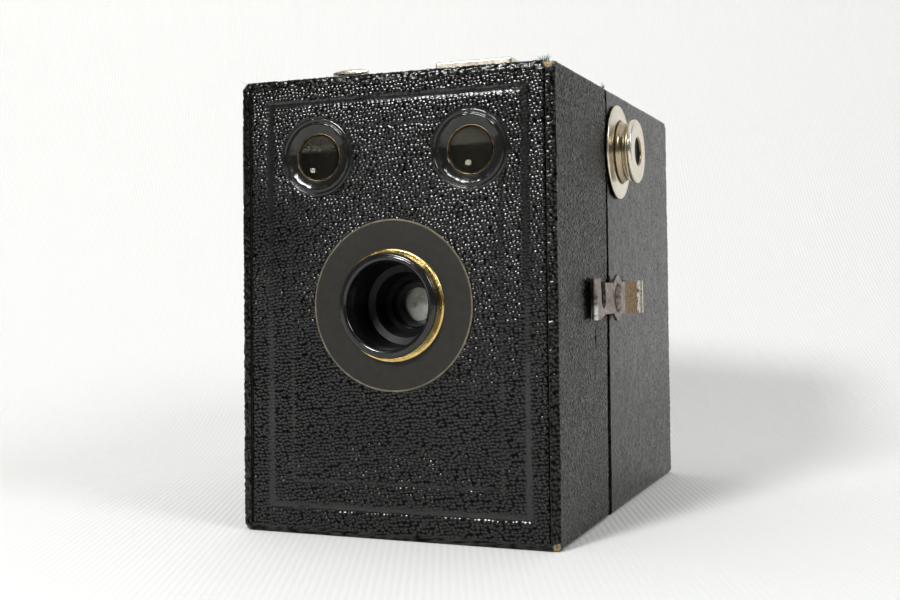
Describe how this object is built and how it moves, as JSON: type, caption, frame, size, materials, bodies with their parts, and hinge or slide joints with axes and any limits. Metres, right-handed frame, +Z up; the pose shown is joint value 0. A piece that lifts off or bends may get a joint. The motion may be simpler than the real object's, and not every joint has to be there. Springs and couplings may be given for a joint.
{
  "type": "box camera",
  "caption": "Covered-board box camera for roll film: draw-out front with lens, rotary shutter and two reflecting finders; rear box with winding key, latch and carrying strap.",
  "frame": {"origin": "centre of the body's base, which rests flat", "axes": "+Z up, the lens looks along -Y, +X is the side with the winding key"},
  "size_m": [0.0883, 0.1223, 0.1146],
  "materials": {
    "board": "matt black paper over board",
    "leatherette": "pebbled black leatherette",
    "strap_leather": "worn black leather",
    "enamel": "gloss black enamel",
    "plate_black": "satin black",
    "black_sheet": "matt black inside the camera",
    "brass": "polished, worn",
    "nickel": "dull nickel plating",
    "latch_steel": "nickel worn to tarnished steel",
    "steel": "plain steel",
    "glass": "clear",
    "ground_glass": "ground on one side",
    "mirror": "silvered",
    "red_glass": "red celluloid",
    "spool_steel": "black enamel",
    "wood": "plain softwood"
  },
  "bodies": {
    "rear_half": {"rear_shell": "board", "rear_wrap": "leatherette", "back_covering": "leatherette", "red_window_ring": "brass", "red_window": "red_glass", "strap": "strap_leather", "strap_end_plates": "nickel", "strap_rivets": "nickel", "key_flange": "nickel", "latch_washer": "latch_steel", "latch_rivet": "latch_steel"},
    "front_half": {"front_box": "board", "front_wrap": "leatherette", "front_covering": "leatherette", "lens_plate": "plate_black", "brass_collar": "brass", "lens_bezel": "enamel", "lens_cell": "black_sheet", "lens": "glass", "lens_retaining_ring": "brass", "diaphragm": "black_sheet", "shutter_plate": "black_sheet", "shutter_posts": "brass", "shutter_pivot": "steel", "lever_pivot": "steel", "shutter_spring": "steel", "time_slide_guide": "steel", "upright_finder_housing": "black_sheet", "upright_finder_lens": "glass", "upright_finder_mirror": "mirror", "upright_finder_screen": "ground_glass", "upright_finder_frame": "nickel", "sideways_finder_housing": "black_sheet", "sideways_finder_lens": "glass", "sideways_finder_mirror": "mirror", "sideways_finder_screen": "ground_glass", "sideways_finder_frame": "nickel", "light_trap_collar": "board", "corner_blocks": "wood", "bulkhead": "wood", "bulkhead_screws": "steel", "light_cone": "black_sheet", "side_plate_right": "black_sheet", "side_plate_left": "black_sheet", "film_gate": "black_sheet", "roller_pins": "steel", "spool_pivots": "steel", "spool_springs": "brass", "latch_stud": "steel"},
    "key_washer": {"key_washer": "nickel"},
    "winding_key": {"winding_knob": "nickel", "key_shaft": "steel"},
    "take_up_spool": {"spool_core": "wood", "spool_flanges": "spool_steel"},
    "latch": {"latch_hook": "latch_steel"},
    "shutter_lever": {"shutter_lever": "nickel"},
    "shutter_disc": {"shutter_disc": "steel"},
    "time_slide": {"time_slide": "nickel"},
    "roller_bottom": {"roller_bottom": "steel"},
    "roller_top": {"roller_top": "steel"}
  },
  "joints": [
    {"name": "front_pull", "type": "slide", "parent": "rear_half", "child": "front_half", "axis": [0, -1, 0], "range_m": [0, 0.1]},
    {"name": "key_pull", "type": "slide", "parent": "rear_half", "child": "key_washer", "axis": [1, 0, 0], "range_m": [0, 0.006]},
    {"name": "key_spin", "type": "hinge", "parent": "key_washer", "child": "winding_key", "pos_m": [0.042, -0.0046, 0.0914], "axis": [1, 0, 0], "continuous": true},
    {"name": "spool_spin", "type": "hinge", "parent": "front_half", "child": "take_up_spool", "pos_m": [0, -0.0046, 0.0914], "axis": [1, 0, 0], "continuous": true},
    {"name": "latch_swivel", "type": "hinge", "parent": "rear_half", "child": "latch", "pos_m": [0.039, -0.0116, 0.054], "axis": [1, 0, 0], "range_deg": [0, 35]},
    {"name": "shutter_trip", "type": "hinge", "parent": "front_half", "child": "shutter_lever", "pos_m": [-0.022, -0.0448, 0.031], "axis": [0, -1, 0], "range_deg": [0, 14], "stiffness_Nm_per_rad": 0.02, "springref_deg": -17.19},
    {"name": "shutter_turn", "type": "hinge", "parent": "front_half", "child": "shutter_disc", "pos_m": [0, -0.042, 0.04075], "axis": [0, 1, 0], "range_deg": [0, 126]},
    {"name": "time_pull", "type": "slide", "parent": "front_half", "child": "time_slide", "axis": [0, 0, 1], "range_m": [0, 0.005]},
    {"name": "bottom_roller_spin", "type": "hinge", "parent": "front_half", "child": "roller_bottom", "pos_m": [0, 0.0512, 0.0068], "axis": [1, 0, 0], "continuous": true},
    {"name": "top_roller_spin", "type": "hinge", "parent": "front_half", "child": "roller_top", "pos_m": [0, 0.0512, 0.0997], "axis": [1, 0, 0], "continuous": true}
  ],
  "couplings": [
    {"joint": "spool_spin", "follows": "key_spin", "ratio": 1},
    {"joint": "shutter_turn", "follows": "shutter_trip", "ratio": 9}
  ]
}
